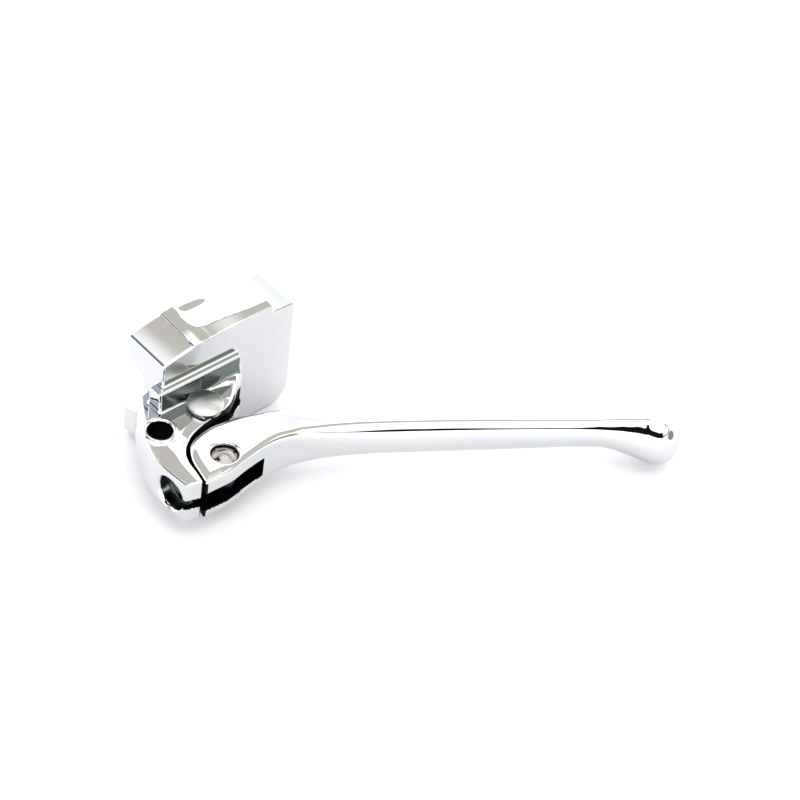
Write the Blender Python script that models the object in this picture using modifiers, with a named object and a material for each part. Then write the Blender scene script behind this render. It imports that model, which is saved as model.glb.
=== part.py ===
"""Clutch hand-lever assembly for a one-inch motorcycle handlebar.

A plated casting carries the lever perch and the front half of the switch housing in one piece.
The lever turns on a headed pin between the two ears of the perch, and a short anchor pin in the
lever's fork holds the end of the clutch cable.

Frame: X runs along the handlebar towards the grip, Y points back to the rider, Z is up.
The origin is on the handlebar's axis, at the inboard end of the housing.
"""

import math

import bmesh
import bpy
from mathutils import Matrix, Vector

MM = 0.001  # the sizes below are in millimetres

# Clearances
FIT_GAP = 0.3        # between pieces that touch or turn on each other
SWING_GAP = 0.9      # between the lever's shoulder and the ears at the open stop

# Handlebar saddle and switch-housing half
BAR_DIAMETER = 25.4
HOUSING_LENGTH = 62.8
HOUSING_DEPTH = 21.0     # parting plane to front face
HOUSING_TOP = 23.4       # height of the two end strips over the bar's axis
HOUSING_BOTTOM = -25.5
HOUSING_WALL = 3.2
PANEL_TOP = 28.0         # raised middle panel
PANEL_START = 13.9
STRIP_LENGTH = 10.8      # outboard strip, from the panel to the housing's end
STRIP_FALL = 0.6         # how far the outboard strip slopes down to its end
PANEL_EDGE = 3.0         # slope along the front edge of the panel
LIP_RISE = 3.6           # how far the inboard strip climbs to the panel
CORNER_RADIUS = 9.0      # lower outboard corner
SADDLE_LENGTH = 17.0     # solid clamping length at the inboard end
END_WALL = 4.8           # outboard end wall
SCREW_HOLE = 4.2
SCREW_DEPTH = 12.0
SCREW_BOSS = 9.0
SCREW_INSET = 4.6        # upper screw's centre below the strips
LOWER_INSET = 5.6        # lower screw's centre above the housing's bottom
INBOARD_SCREW = 7.0      # inboard screws from the inboard end
BOSS_SINK = 0.8          # how far a screw boss runs into the end wall
ROOM_RISE = 1.5          # the wiring room reaches this far into the panel

# Perch
PERCH_TOP = 4.5
PERCH_THICKNESS = 19.5
NECK_PROUD = 3.0         # neck's face in front of the housing's
NECK_TOP = 13.3
NECK_OVERHANG = 3.3      # neck's end inboard of the housing
NECK_END = 35.5
NECK_CORNER = 4.0        # bevel at the neck's outboard front corner
NECK_REAR = -11.0        # where the neck ends inside the housing
NECK_FOOT = 1.0          # the neck stops this far above the perch's underside
PERCH_REAR = -9.5
MIRROR_CENTRE = (-9.0, -32.1)
MIRROR_HOLE = 9.5
MIRROR_BOSS = 12.0
BOSS_HEIGHT = 1.2

# Lever pivot
PIVOT = (12.7, -31.3)
PIN_DIAMETER = 8.0
HEAD_DIAMETER = 13.4
HEAD_EDGE = 2.0
HEAD_DOME = 1.6
BUSH_WALL = 1.3
BUSH_SHORT = 0.2         # the bush stops this far inside each face of the tongue
WASHER_THICKNESS = 1.0
WASHER_INSET = 0.5       # the washer is this much smaller than the tongue's end
RING_THICKNESS = 0.9
RING_WIDTH = 2.0         # how far the ring stands out from the pin
GROOVE_DEPTH = 0.9
UPPER_EAR = 5.5          # thickness of the ear above the tongue
TONGUE_THICKNESS = 7.4
EYE_RADIUS = 8.5         # round end of the tongue
PIN_END = 1.4            # pin beyond its groove
PIN_CHAMFER = 0.8

# Lever
OPEN_ANGLE = -36.8       # blade's direction from the bar at the open stop, degrees
LEVER_LENGTH = 173.0     # pivot to the centre of the ball end
BALL_RADIUS = 10.0
FORK_TOP_WALL = 6.7
FORK_SLOT = 8.8
FORK_SLOT_END = 18.4     # the slot's outboard end, along the bar
SLOT_CLEARANCE = 2.2     # round the anchor pin, inside the slot
CABLE_ROOM = 6.2         # the slot's inboard arm reaches this far behind the pin

# Cable anchor pin
ANCHOR_ARM = 24.2        # pivot to anchor pin
ANCHOR_ANGLE = -73.9     # direction of the arm from the blade, degrees
ANCHOR_DIAMETER = 9.8
RECESS_MARGIN = 0.8      # the recess round the pin's rim
ANCHOR_SINK = 1.2        # the pin's rim below the lever's top
RECESS_DEPTH = 1.8
ANCHOR_DOME = 0.9
SPIGOT_DIAMETER = 6.0
SHELF = 2.4              # thickness of the lever under the pin's shoulder
CABLE_HOLE = 4.4         # cross hole in the anchor pin

# Cable entry in the perch
FERRULE_DIAMETER = 13.6
FERRULE_DEPTH = 6.0
CABLE_BORE = 8.0
CABLE_Y = -51.2
CABLE_SLOT = 4.3
WALL_AT_CABLE = -18.6    # outer face of the perch wall where the cable enters

# Worked out from the sizes above
SADDLE_RADIUS = BAR_DIAMETER / 2
PERCH_BOTTOM = PERCH_TOP - PERCH_THICKNESS
NECK_FACE = -HOUSING_DEPTH - NECK_PROUD
EAR_UNDERSIDE = PERCH_TOP - UPPER_EAR
TONGUE_TOP = EAR_UNDERSIDE - FIT_GAP
TONGUE_BOTTOM = TONGUE_TOP - TONGUE_THICKNESS
LOWER_EAR_TOP = TONGUE_BOTTOM - WASHER_THICKNESS - 2 * FIT_GAP
PIN_RADIUS = PIN_DIAMETER / 2
BUSH_OUTER = PIN_RADIUS + FIT_GAP + BUSH_WALL
FORK_SLOT_TOP = PERCH_TOP - FORK_TOP_WALL
FORK_SLOT_BOTTOM = FORK_SLOT_TOP - FORK_SLOT
CABLE_Z = (FORK_SLOT_TOP + FORK_SLOT_BOTTOM) / 2
LEVER_MIDDLE = (PERCH_TOP + PERCH_BOTTOM) / 2
PANEL_END = HOUSING_LENGTH - STRIP_LENGTH
FERRULE_SEAT = WALL_AT_CABLE + FERRULE_DEPTH
BEYOND = 20.0            # how far a cutter runs past what it cuts
CIRCLE = 48


def clear_scene():
    for item in list(bpy.data.objects):
        bpy.data.objects.remove(item, do_unlink=True)


def collection(name):
    group = bpy.data.collections.new(name)
    bpy.context.scene.collection.children.link(group)
    return group


def material(name, colour, roughness, metallic=1.0):
    finish = bpy.data.materials.new(name)
    finish.use_nodes = True
    shader = finish.node_tree.nodes["Principled BSDF"]
    shader.inputs["Base Color"].default_value = (*colour, 1.0)
    shader.inputs["Roughness"].default_value = roughness
    shader.inputs["Metallic"].default_value = metallic
    return finish


def rotated(point, degrees):
    angle = math.radians(degrees)
    x, y = point
    return (x * math.cos(angle) - y * math.sin(angle), x * math.sin(angle) + y * math.cos(angle))


def arc(centre, radius, start, end, steps):
    """Points on an arc, angles in degrees."""
    points = []
    for i in range(steps + 1):
        angle = math.radians(start + (end - start) * i / steps)
        points.append((centre[0] + radius * math.cos(angle), centre[1] + radius * math.sin(angle)))
    return points


def smooth(points, steps):
    """Points along a Catmull-Rom curve through the given ones."""
    out = []
    ends = [points[0]] + list(points) + [points[-1]]
    for a, b, c, d in zip(ends, ends[1:], ends[2:], ends[3:]):
        for i in range(steps):
            t = i / steps
            out.append(tuple(
                0.5 * (2 * q + (r - p) * t + (2 * p - 5 * q + 4 * r - s) * t * t
                       + (3 * q - p - 3 * r + s) * t ** 3)
                for p, q, r, s in zip(a, b, c, d)))
    out.append(tuple(points[-1]))
    return out


def add_mesh(name, mesh, group, finish=None):
    item = bpy.data.objects.new(name, mesh)
    group.objects.link(item)
    if finish:
        mesh.materials.clear()
        mesh.materials.append(finish)
    return item


def from_curve(name, curve, group, finish=None):
    """Turns a curve into a welded mesh object at the origin."""
    guide = bpy.data.objects.new(name + "_curve", curve)
    bpy.context.scene.collection.objects.link(guide)
    graph = bpy.context.evaluated_depsgraph_get()
    mesh = bpy.data.meshes.new_from_object(guide.evaluated_get(graph))
    mesh.name = name
    bpy.data.objects.remove(guide, do_unlink=True)
    bm = bmesh.new()
    bm.from_mesh(mesh)
    bmesh.ops.remove_doubles(bm, verts=bm.verts, dist=1e-6)
    bmesh.ops.recalc_face_normals(bm, faces=bm.faces)
    bm.to_mesh(mesh)
    bm.free()
    return add_mesh(name, mesh, group, finish)


def plate(name, outline, low, high, group, finish=None):
    """An outline in X and Y, filled and extruded between two heights."""
    curve = bpy.data.curves.new(name, "CURVE")
    curve.dimensions = "2D"
    curve.fill_mode = "BOTH"
    curve.extrude = (high - low) / 2 * MM
    spline = curve.splines.new("POLY")
    spline.points.add(len(outline) - 1)
    for point, (x, y) in zip(spline.points, outline):
        point.co = (x * MM, y * MM, 0, 1)
    spline.use_cyclic_u = True
    item = from_curve(name, curve, group, finish)
    item.data.transform(Matrix.Translation((0, 0, (low + high) / 2 * MM)))
    return item


def cylinder(name, centre, radius, length, axis, group, finish=None, sides=CIRCLE):
    """A cylinder whose axis runs along X, Y or Z, about its centre."""
    mesh = bpy.data.meshes.new(name)
    bm = bmesh.new()
    bmesh.ops.create_cone(bm, cap_ends=True, segments=sides, radius1=radius * MM,
                          radius2=radius * MM, depth=length * MM)
    bm.to_mesh(mesh)
    bm.free()
    turn = Vector((0, 0, 1)).rotation_difference(Vector(axis)).to_matrix().to_4x4()
    mesh.transform(Matrix.Translation(Vector(centre) * MM) @ turn)
    return add_mesh(name, mesh, group, finish)


def box(name, low, high, group):
    mesh = bpy.data.meshes.new(name)
    bm = bmesh.new()
    bmesh.ops.create_cube(bm, size=1.0)
    bm.to_mesh(mesh)
    bm.free()
    size = [(b - a) * MM for a, b in zip(low, high)]
    middle = [(a + b) / 2 * MM for a, b in zip(low, high)]
    mesh.transform(Matrix.Translation(middle) @ Matrix.Diagonal((*size, 1.0)))
    return add_mesh(name, mesh, group)


def turned(name, profile, centre, group, finish):
    """A round piece: radius and height points, from the top's axis down its outer side."""
    mesh = bpy.data.meshes.new(name)
    bm = bmesh.new()
    vertices = [bm.verts.new((r * MM, 0, z * MM)) for r, z in profile]
    for a, b in zip(vertices, vertices[1:]):
        bm.edges.new((a, b))
    if profile[0][0] > 0:
        bm.edges.new((vertices[-1], vertices[0]))
    bm.to_mesh(mesh)
    bm.free()
    item = add_mesh(name, mesh, group, finish)
    item.location = (centre[0] * MM, centre[1] * MM, 0)
    screw = item.modifiers.new("turn", "SCREW")
    screw.steps = screw.render_steps = CIRCLE
    screw.use_merge_vertices = True
    screw.merge_threshold = 1e-6
    return item


def combine(item, other, operation):
    modifier = item.modifiers.new(operation.lower(), "BOOLEAN")
    modifier.operation = operation
    modifier.solver = "EXACT"
    modifier.object = other
    other.hide_render = True
    other.display_type = "WIRE"


def housing_outline():
    """The housing seen from the front, X along the bar and Y standing for height."""
    lip = [(PANEL_START * t, HOUSING_TOP + LIP_RISE * math.sin(t * math.pi / 2))
           for t in (0.0, 0.25, 0.5, 0.75, 1.0)]
    corner = arc((HOUSING_LENGTH - CORNER_RADIUS, HOUSING_BOTTOM + CORNER_RADIUS),
                 CORNER_RADIUS, 0, -90, 8)
    return lip + [
        (PANEL_START, PANEL_TOP), (PANEL_END, PANEL_TOP), (PANEL_END, HOUSING_TOP + STRIP_FALL),
        (HOUSING_LENGTH, HOUSING_TOP)] + corner + [(0, HOUSING_BOTTOM)]


def ear_edge():
    """The ears' edge along the gap to the lever, from the nose of the perch to the neck."""
    return smooth([
        (-11.5, -61.0), (-10.3, -55.5), (-9.3, -49.8), (-6.7, -44.9), (-0.6, -40.2),
        (6.2, -37.9), (13.0, -36.7), (20.2, -35.4), (25.8, -32.4), (32.0, -27.2)], 3)


def perch_outline():
    """The perch seen from above."""
    wall = smooth([(-2.6, PERCH_REAR), (-8.5, -18.5), (-12.8, -26.4), (-17.0, -35.6),
                   (-18.7, -46.0), (-17.6, -59.3)], 4)
    inside = NECK_END - 0.8
    root = [(inside, NECK_FACE + 3.4), (inside, NECK_REAR - 3.0), (1.0, PERCH_REAR)]
    return wall + ear_edge() + root


def make_bracket(parts, cutters, finish):
    profile = housing_outline()
    bracket = plate("bracket_housing", profile, 0, HOUSING_DEPTH, parts, finish)
    bracket.data.transform(Matrix.Rotation(math.pi / 2, 4, "X"))  # outline's Y becomes height
    edge = plate("panel_edge_cut", [
        (-HOUSING_DEPTH - 1, PANEL_TOP - PANEL_EDGE - 1), (-HOUSING_DEPTH - 1, PANEL_TOP + 1),
        (-HOUSING_DEPTH + PANEL_EDGE + 1, PANEL_TOP + 1)],
        PANEL_START - 1, PANEL_END + 1, cutters)
    edge.data.transform(Matrix(((0, 0, 1, 0), (1, 0, 0, 0), (0, 1, 0, 0), (0, 0, 0, 1))))
    combine(bracket, edge, "DIFFERENCE")

    neck = plate("neck_block", [
        (-NECK_OVERHANG, NECK_REAR), (-NECK_OVERHANG, NECK_FACE),
        (NECK_END - NECK_CORNER, NECK_FACE), (NECK_END, NECK_FACE + NECK_CORNER),
        (NECK_END, NECK_REAR)], PERCH_BOTTOM + NECK_FOOT, NECK_TOP, cutters)
    perch = plate("perch_block", perch_outline(), PERCH_BOTTOM, PERCH_TOP, cutters)
    boss = cylinder("mirror_boss", (*MIRROR_CENTRE, PERCH_TOP), MIRROR_BOSS / 2,
                    2 * BOSS_HEIGHT, (0, 0, 1), cutters)
    for block in (neck, perch, boss):
        combine(bracket, block, "UNION")

    room = box("wiring_room_cut",
               (SADDLE_LENGTH, -HOUSING_DEPTH + HOUSING_WALL, HOUSING_BOTTOM + HOUSING_WALL),
               (HOUSING_LENGTH - END_WALL, 2, HOUSING_TOP - HOUSING_WALL + ROOM_RISE), cutters)
    combine(bracket, room, "DIFFERENCE")
    screws = []
    outboard = HOUSING_LENGTH - END_WALL - SCREW_BOSS / 2 + BOSS_SINK
    for z in (HOUSING_TOP - SCREW_INSET, HOUSING_BOTTOM + LOWER_INSET):
        screws.append((INBOARD_SCREW, z))
        screws.append((outboard, z))
        post = cylinder(f"screw_post_{len(screws)}", (outboard, -HOUSING_DEPTH / 2, z),
                        SCREW_BOSS / 2, HOUSING_DEPTH - 1.0, (0, 1, 0), cutters, sides=24)
        combine(bracket, post, "UNION")
    saddle = cylinder("saddle_cut", (HOUSING_LENGTH / 2, 0, 0), SADDLE_RADIUS,
                      HOUSING_LENGTH + 2 * BEYOND, (1, 0, 0), cutters, sides=64)
    combine(bracket, saddle, "DIFFERENCE")
    for i, (x, z) in enumerate(screws):
        hole = cylinder(f"screw_hole_{i + 1}", (x, 1 - SCREW_DEPTH / 2, z), SCREW_HOLE / 2,
                        SCREW_DEPTH + 2, (0, 1, 0), cutters, sides=20)
        combine(bracket, hole, "DIFFERENCE")

    ear_slot = plate("ear_slot_cut", ear_slot_outline(), LOWER_EAR_TOP, EAR_UNDERSIDE, cutters)
    combine(bracket, ear_slot, "DIFFERENCE")
    height = PERCH_THICKNESS + BEYOND
    for name, centre, radius in (
            ("pivot_bore", PIVOT, PIN_RADIUS + FIT_GAP), ("mirror_bore", MIRROR_CENTRE, MIRROR_HOLE / 2)):
        bore = cylinder(name, (*centre, LEVER_MIDDLE), radius, height, (0, 0, 1), cutters)
        combine(bracket, bore, "DIFFERENCE")
    mouth_length = 2 * FERRULE_DEPTH
    mouth = cylinder("ferrule_mouth", (FERRULE_SEAT - mouth_length / 2, CABLE_Y, CABLE_Z),
                     FERRULE_DIAMETER / 2, mouth_length, (1, 0, 0), cutters)
    bore = cylinder("cable_bore", (FERRULE_SEAT, CABLE_Y, CABLE_Z), CABLE_BORE / 2,
                    1.5 * BEYOND, (1, 0, 0), cutters)
    slot = box("cable_slot_cut",
               (FERRULE_SEAT - BEYOND, CABLE_Y - BEYOND, CABLE_Z - CABLE_SLOT / 2),
               (FERRULE_SEAT + BEYOND, CABLE_Y, CABLE_Z + CABLE_SLOT / 2), cutters)
    for cutter in (mouth, bore, slot):
        combine(bracket, cutter, "DIFFERENCE")
    return bracket


def ear_slot_outline():
    """Room for the tongue: a round pocket about the pivot, open to the front and outboard."""
    radius = EYE_RADIUS + SWING_GAP
    back = arc(PIVOT, radius, 45, 190, 14)
    return back + [(-3.0, -41.0), (-3.0, -75.0), (60.0, -75.0), (60.0, NECK_FACE + 0.8)]


def lever_frame(points):
    """Moves points given from the pivot, along and across the blade, to the bar's frame."""
    out = []
    for point in points:
        x, y = rotated(point, OPEN_ANGLE)
        out.append((PIVOT[0] + x, PIVOT[1] + y))
    return out


def anchor_centre():
    reach = rotated((ANCHOR_ARM, 0), ANCHOR_ANGLE)
    return lever_frame([reach])[0]


def shoulder():
    """The lever's edge along the gap, from its front corner to the blade."""
    return smooth([(-0.3, -39.0), (-2.9, -33.4), (-5.1, -28.5), (-6.1, -23.8), (-5.9, -19.6),
                   (-4.2, -16.0), (-1.0, -12.3), (3.0, -8.9), (9.9, -5.2), (17.3, -2.0),
                   (26.0, 1.0)], 3)


def fork_outline():
    front = smooth([(30.0, -12.6), (23.0, -19.3), (15.0, -27.2), (10.2, -32.4), (4.5, -36.8)], 3)
    return shoulder() + front


def make_lever(parts, cutters, finish):
    lever = plate("hand_lever", lever_frame(fork_outline()), PERCH_BOTTOM, PERCH_TOP, parts, finish)
    tongue_shape = arc((0, 0), EYE_RADIUS, 60, 220, 14) + [
        (-3.6, -17.5), (4.0, -15.0), (20.0, -5.0), (14.0, -0.5)]
    tongue = plate("tongue", lever_frame(tongue_shape), TONGUE_BOTTOM, TONGUE_TOP, cutters)
    combine(lever, tongue, "UNION")
    combine(lever, make_blade(cutters), "UNION")

    anchor = anchor_centre()
    front, inboard = anchor[1] - BEYOND, anchor[0] - BEYOND
    slot_shape = [(FORK_SLOT_END, front), (FORK_SLOT_END, anchor[1] - 3)]
    slot_shape += arc(anchor, ANCHOR_DIAMETER / 2 + SLOT_CLEARANCE, 10, 120, 8)
    slot_shape += [(inboard, anchor[1] + CABLE_ROOM), (inboard, front)]
    slot = plate("fork_slot_cut", slot_shape, FORK_SLOT_BOTTOM, FORK_SLOT_TOP, cutters)
    combine(lever, slot, "DIFFERENCE")
    top = PERCH_TOP
    shelf_top = PERCH_BOTTOM + SHELF
    drills = (
        ("anchor_recess", anchor, ANCHOR_DIAMETER / 2 + RECESS_MARGIN, top - RECESS_DEPTH, top + 2),
        ("anchor_bore", anchor, ANCHOR_DIAMETER / 2 + FIT_GAP, shelf_top, top + 2),
        ("spigot_bore", anchor, SPIGOT_DIAMETER / 2 + FIT_GAP, PERCH_BOTTOM - 2, top),
        ("eye_bore", PIVOT, BUSH_OUTER + FIT_GAP, PERCH_BOTTOM, top),
    )
    for name, centre, radius, low, high in drills:
        drill = cylinder(name, (*centre, (low + high) / 2), radius, high - low, (0, 0, 1), cutters)
        combine(lever, drill, "DIFFERENCE")
    return lever


def section(half_width, half_height, squareness, sides):
    """A superellipse: 2 is an ellipse, and a larger squareness has flatter sides."""
    points = []
    for i in range(sides):
        angle = 2 * math.pi * i / sides
        c, s = math.cos(angle), math.sin(angle)
        reach = (abs(c) ** squareness + abs(s) ** squareness) ** (-1 / squareness)
        points.append((half_width * reach * c, half_height * reach * s))
    return points


def make_blade(cutters):
    """The grip part of the lever: a loft from a squarish root to a round neck and a ball."""
    # along the blade, across it, half width, half height, squareness
    root = [(14.0, -11.5, 6.4, 9.3, 6.0), (21.0, -9.6, 7.4, 9.3, 5.0), (28.0, -7.4, 7.0, 9.0, 4.0),
            (36.0, -5.3, 6.5, 8.2, 3.0), (46.0, -3.9, 6.7, 7.5, 2.4), (60.0, -2.3, 7.0, 7.2, 2.1)]
    span = LEVER_LENGTH - 60.0
    grip = [(60.0 + span * 0.2, -0.7, 7.0, 7.1, 2.0), (60.0 + span * 0.41, 0.9, 6.8, 6.9, 2.0),
            (60.0 + span * 0.62, 2.4, 6.4, 6.4, 2.0)]
    neck = [(LEVER_LENGTH - 27.0, 3.1, 6.05, 6.05, 2.0), (LEVER_LENGTH - 19.0, 3.2, 6.5, 6.5, 2.0),
            (LEVER_LENGTH - 12.0, 2.3, 7.9, 7.9, 2.0), (LEVER_LENGTH - 6.0, 1.0, 9.3, 9.3, 2.0)]
    stations = smooth(root + grip + neck, 2)
    for angle in (88, 66, 44, 22):
        reach = math.radians(angle)
        radius = BALL_RADIUS * math.sin(reach)
        stations.append((LEVER_LENGTH + BALL_RADIUS * math.cos(reach), 0.0, radius, radius, 2.0))
    sides = 28
    mesh = bpy.data.meshes.new("blade")
    bm = bmesh.new()
    rings = []
    for along, across, width, height, squareness in stations:
        ring = []
        for offset, rise in section(width, height, squareness, sides):
            (x, y), = lever_frame([(along, across + offset)])
            ring.append(bm.verts.new((x * MM, y * MM, (LEVER_MIDDLE + rise) * MM)))
        rings.append(ring)
    for ring, following in zip(rings, rings[1:]):
        for i in range(sides):
            j = (i + 1) % sides
            bm.faces.new((ring[i], ring[j], following[j], following[i]))
    bm.faces.new(rings[0])
    bm.faces.new(reversed(rings[-1]))
    bmesh.ops.recalc_face_normals(bm, faces=bm.faces)
    bm.to_mesh(mesh)
    bm.free()
    return add_mesh("blade", mesh, cutters)


def make_pivot_pin(parts, finish):
    seat = PERCH_TOP + FIT_GAP
    edge = HEAD_DIAMETER / 2
    ring_top = PERCH_BOTTOM - FIT_GAP
    groove = PIN_RADIUS - GROOVE_DEPTH
    low = ring_top - RING_THICKNESS - 2 * FIT_GAP
    profile = [(0, seat + HEAD_EDGE + HEAD_DOME), (edge * 0.4, seat + HEAD_EDGE + HEAD_DOME * 0.85),
               (edge * 0.75, seat + HEAD_EDGE + HEAD_DOME * 0.45), (edge, seat + HEAD_EDGE),
               (edge, seat), (PIN_RADIUS, seat), (PIN_RADIUS, ring_top + FIT_GAP / 2),
               (groove, ring_top + FIT_GAP / 2), (groove, low), (PIN_RADIUS, low),
               (PIN_RADIUS, low - PIN_END + PIN_CHAMFER), (PIN_RADIUS - PIN_CHAMFER, low - PIN_END),
               (0, low - PIN_END)]
    return turned("pivot_pin", profile, PIVOT, parts, finish)


def make_retaining_ring(parts, finish):
    """A flat C-shaped clip in the pin's groove."""
    top = PERCH_BOTTOM - FIT_GAP
    inner = PIN_RADIUS - GROOVE_DEPTH + FIT_GAP
    outline = arc(PIVOT, PIN_RADIUS + RING_WIDTH, 40, 320, 28) + arc(PIVOT, inner, 320, 40, 20)
    return plate("pivot_retaining_ring", outline, top - RING_THICKNESS, top, parts, finish)


def make_bush(parts, finish):
    inner = PIN_RADIUS + FIT_GAP
    low, high = TONGUE_BOTTOM + BUSH_SHORT, TONGUE_TOP - BUSH_SHORT
    profile = [(inner, high), (BUSH_OUTER, high), (BUSH_OUTER, low), (inner, low)]
    return turned("pivot_bush", profile, PIVOT, parts, finish)


def make_washer(parts, finish):
    inner = PIN_RADIUS + FIT_GAP
    low = LOWER_EAR_TOP + FIT_GAP
    profile = [(inner, low + WASHER_THICKNESS), (EYE_RADIUS - WASHER_INSET, low + WASHER_THICKNESS),
               (EYE_RADIUS - WASHER_INSET, low), (inner, low)]
    return turned("thrust_washer", profile, PIVOT, parts, finish)


def make_anchor_pin(parts, cutters, finish):
    radius = ANCHOR_DIAMETER / 2
    rim = PERCH_TOP - ANCHOR_SINK
    shoulder_z = PERCH_BOTTOM + SHELF + FIT_GAP
    spigot = SPIGOT_DIAMETER / 2
    foot = PERCH_BOTTOM + FIT_GAP
    profile = [(0, rim + ANCHOR_DOME), (radius * 0.45, rim + ANCHOR_DOME * 0.8),
               (radius * 0.8, rim + ANCHOR_DOME * 0.35), (radius, rim - 0.3),
               (radius, shoulder_z), (spigot, shoulder_z), (spigot, foot), (0, foot)]
    centre = anchor_centre()
    pin = turned("cable_anchor_pin", profile, centre, parts, finish)
    hole = cylinder("anchor_cross_hole", (*centre, CABLE_Z), CABLE_HOLE / 2,
                    ANCHOR_DIAMETER + 4, (1, 0, 0), cutters, sides=24)
    combine(pin, hole, "DIFFERENCE")
    return pin


def main():
    clear_scene()
    parts = collection("clutch_lever")
    cutters = collection("cutters")
    chrome = material("chrome_plate", (0.78, 0.79, 0.80), 0.05)
    steel = material("zinc_steel", (0.60, 0.60, 0.60), 0.30)
    bronze = material("sintered_bronze", (0.52, 0.36, 0.18), 0.45)
    make_bracket(parts, cutters, chrome)
    make_lever(parts, cutters, chrome)
    make_pivot_pin(parts, chrome)
    make_retaining_ring(parts, steel)
    make_bush(parts, bronze)
    make_washer(parts, steel)
    make_anchor_pin(parts, cutters, steel)


main()
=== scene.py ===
# %% [markdown]
# # A chromed clutch lever
# The object is a motorcycle clutch lever with its bracket: one casting holds the handlebar,
# half of the switch housing and the perch, and the lever swings on a headed pin.
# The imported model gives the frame, so everything below is placed from it, and only the
# looks are made here. Sizes are written in millimetres, and turned to metres at the end.

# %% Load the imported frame
import math

import bmesh
import bpy
import numpy as np
from mathutils import Matrix, Vector


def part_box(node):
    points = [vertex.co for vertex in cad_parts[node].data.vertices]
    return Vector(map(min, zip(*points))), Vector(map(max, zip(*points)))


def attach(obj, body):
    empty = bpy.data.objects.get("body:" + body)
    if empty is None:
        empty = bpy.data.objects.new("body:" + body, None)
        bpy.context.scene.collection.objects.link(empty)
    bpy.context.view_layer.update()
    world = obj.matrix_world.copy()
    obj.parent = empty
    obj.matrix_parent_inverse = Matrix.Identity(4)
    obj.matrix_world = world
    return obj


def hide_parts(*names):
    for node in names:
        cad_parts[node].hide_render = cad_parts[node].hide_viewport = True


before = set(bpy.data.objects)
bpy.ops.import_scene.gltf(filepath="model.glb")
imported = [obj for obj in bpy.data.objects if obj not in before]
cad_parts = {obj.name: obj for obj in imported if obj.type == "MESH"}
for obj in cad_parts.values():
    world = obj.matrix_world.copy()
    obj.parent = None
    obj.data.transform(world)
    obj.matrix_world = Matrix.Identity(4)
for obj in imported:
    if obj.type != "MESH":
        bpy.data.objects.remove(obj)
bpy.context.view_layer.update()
MM = 0.001
print("CAD nodes:", sorted(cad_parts))


# %% [markdown]
# ## Solids as distance fields
# A casting is a few simple solids that run into each other with fillets. Booleans and bevels
# would leave broken shading in the corners, and a mirror finish shows every one of them. A
# distance field has no such trouble: each solid is a function that is negative inside, and a
# fillet is a circle drawn between two of those distances. So the casting and the lever are
# written as fields, and the skin is found afterwards.

# %% Joining fields
def fillet(a, b, radius):
    """Both solids, with a fillet between them: where both distances are under the radius, the
    surface is the circle of that radius that touches both, and elsewhere the nearer surface."""
    near_a = np.maximum(radius - a, 0)
    near_b = np.maximum(radius - b, 0)
    return np.maximum(radius, np.minimum(a, b)) - np.hypot(near_a, near_b)


def common(a, b, radius=0.3):
    """What two solids share, with its edge rounded to that radius."""
    return -fillet(-a, -b, radius)


def cut(a, b, radius=0.3):
    """The first solid without the second, with the rim of the cut rounded."""
    return -fillet(-a, b, radius)


def between(value, low, high):
    """Distance to a slab that lies between two parallel planes."""
    return np.abs(value - (low + high) / 2) - (high - low) / 2


def disc(x, y, centre, radius):
    return np.hypot(x - centre[0], y - centre[1]) - radius


def soft_edge(plan, width, angle):
    """How far a polished edge falls below its flat. The fall begins at that width inside the
    outline, bends over the first third of the width, and then keeps its angle."""
    way = np.maximum(plan + width, 0)
    bend = width / 3
    return np.tan(np.radians(angle)) * np.where(way < bend, way ** 2 / (2 * bend), way - bend / 2)


def ease(value, low, high):
    """Rises smoothly from 0 at low to 1 at high."""
    t = np.clip((value - low) / (high - low), 0, 1)
    return t * t * (3 - 2 * t)


print("2 mm fillet, half a millimetre off both walls:", round(float(fillet(0.5, 0.5, 2.0)), 3))


# %% [markdown]
# ## Outlines
# The perch and the fork are plates whose outline is drawn as a few points with a smooth
# curve through them. The distance to such a curve is worked out once on a fine grid,
# and read from the grid with a cubic, so that the walls have no facets.

# %% Smooth outlines
def through(points, steps=12):
    """A Catmull-Rom curve through the points: each piece is a cubic whose slope at a point is
    half the way between its neighbours."""
    p = np.array(points, float)
    p = np.vstack([2 * p[0] - p[1], p, 2 * p[-1] - p[-2]])
    t = (np.arange(steps) / steps)[None, :, None]
    a, b, c, d = (p[i:len(p) - 3 + i, None, :] for i in range(4))
    curve = 0.5 * (2 * b + (c - a) * t + (2 * a - 5 * b + 4 * c - d) * t ** 2
                   + (3 * b - a - 3 * c + d) * t ** 3)
    return np.vstack([curve.reshape(-1, p.shape[1]), p[-2]])


def arc(centre, radius, start, end, steps=24):
    angle = np.radians(np.linspace(start, end, steps + 1))
    return np.column_stack([centre[0] + radius * np.cos(angle),
                            centre[1] + radius * np.sin(angle)])


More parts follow.
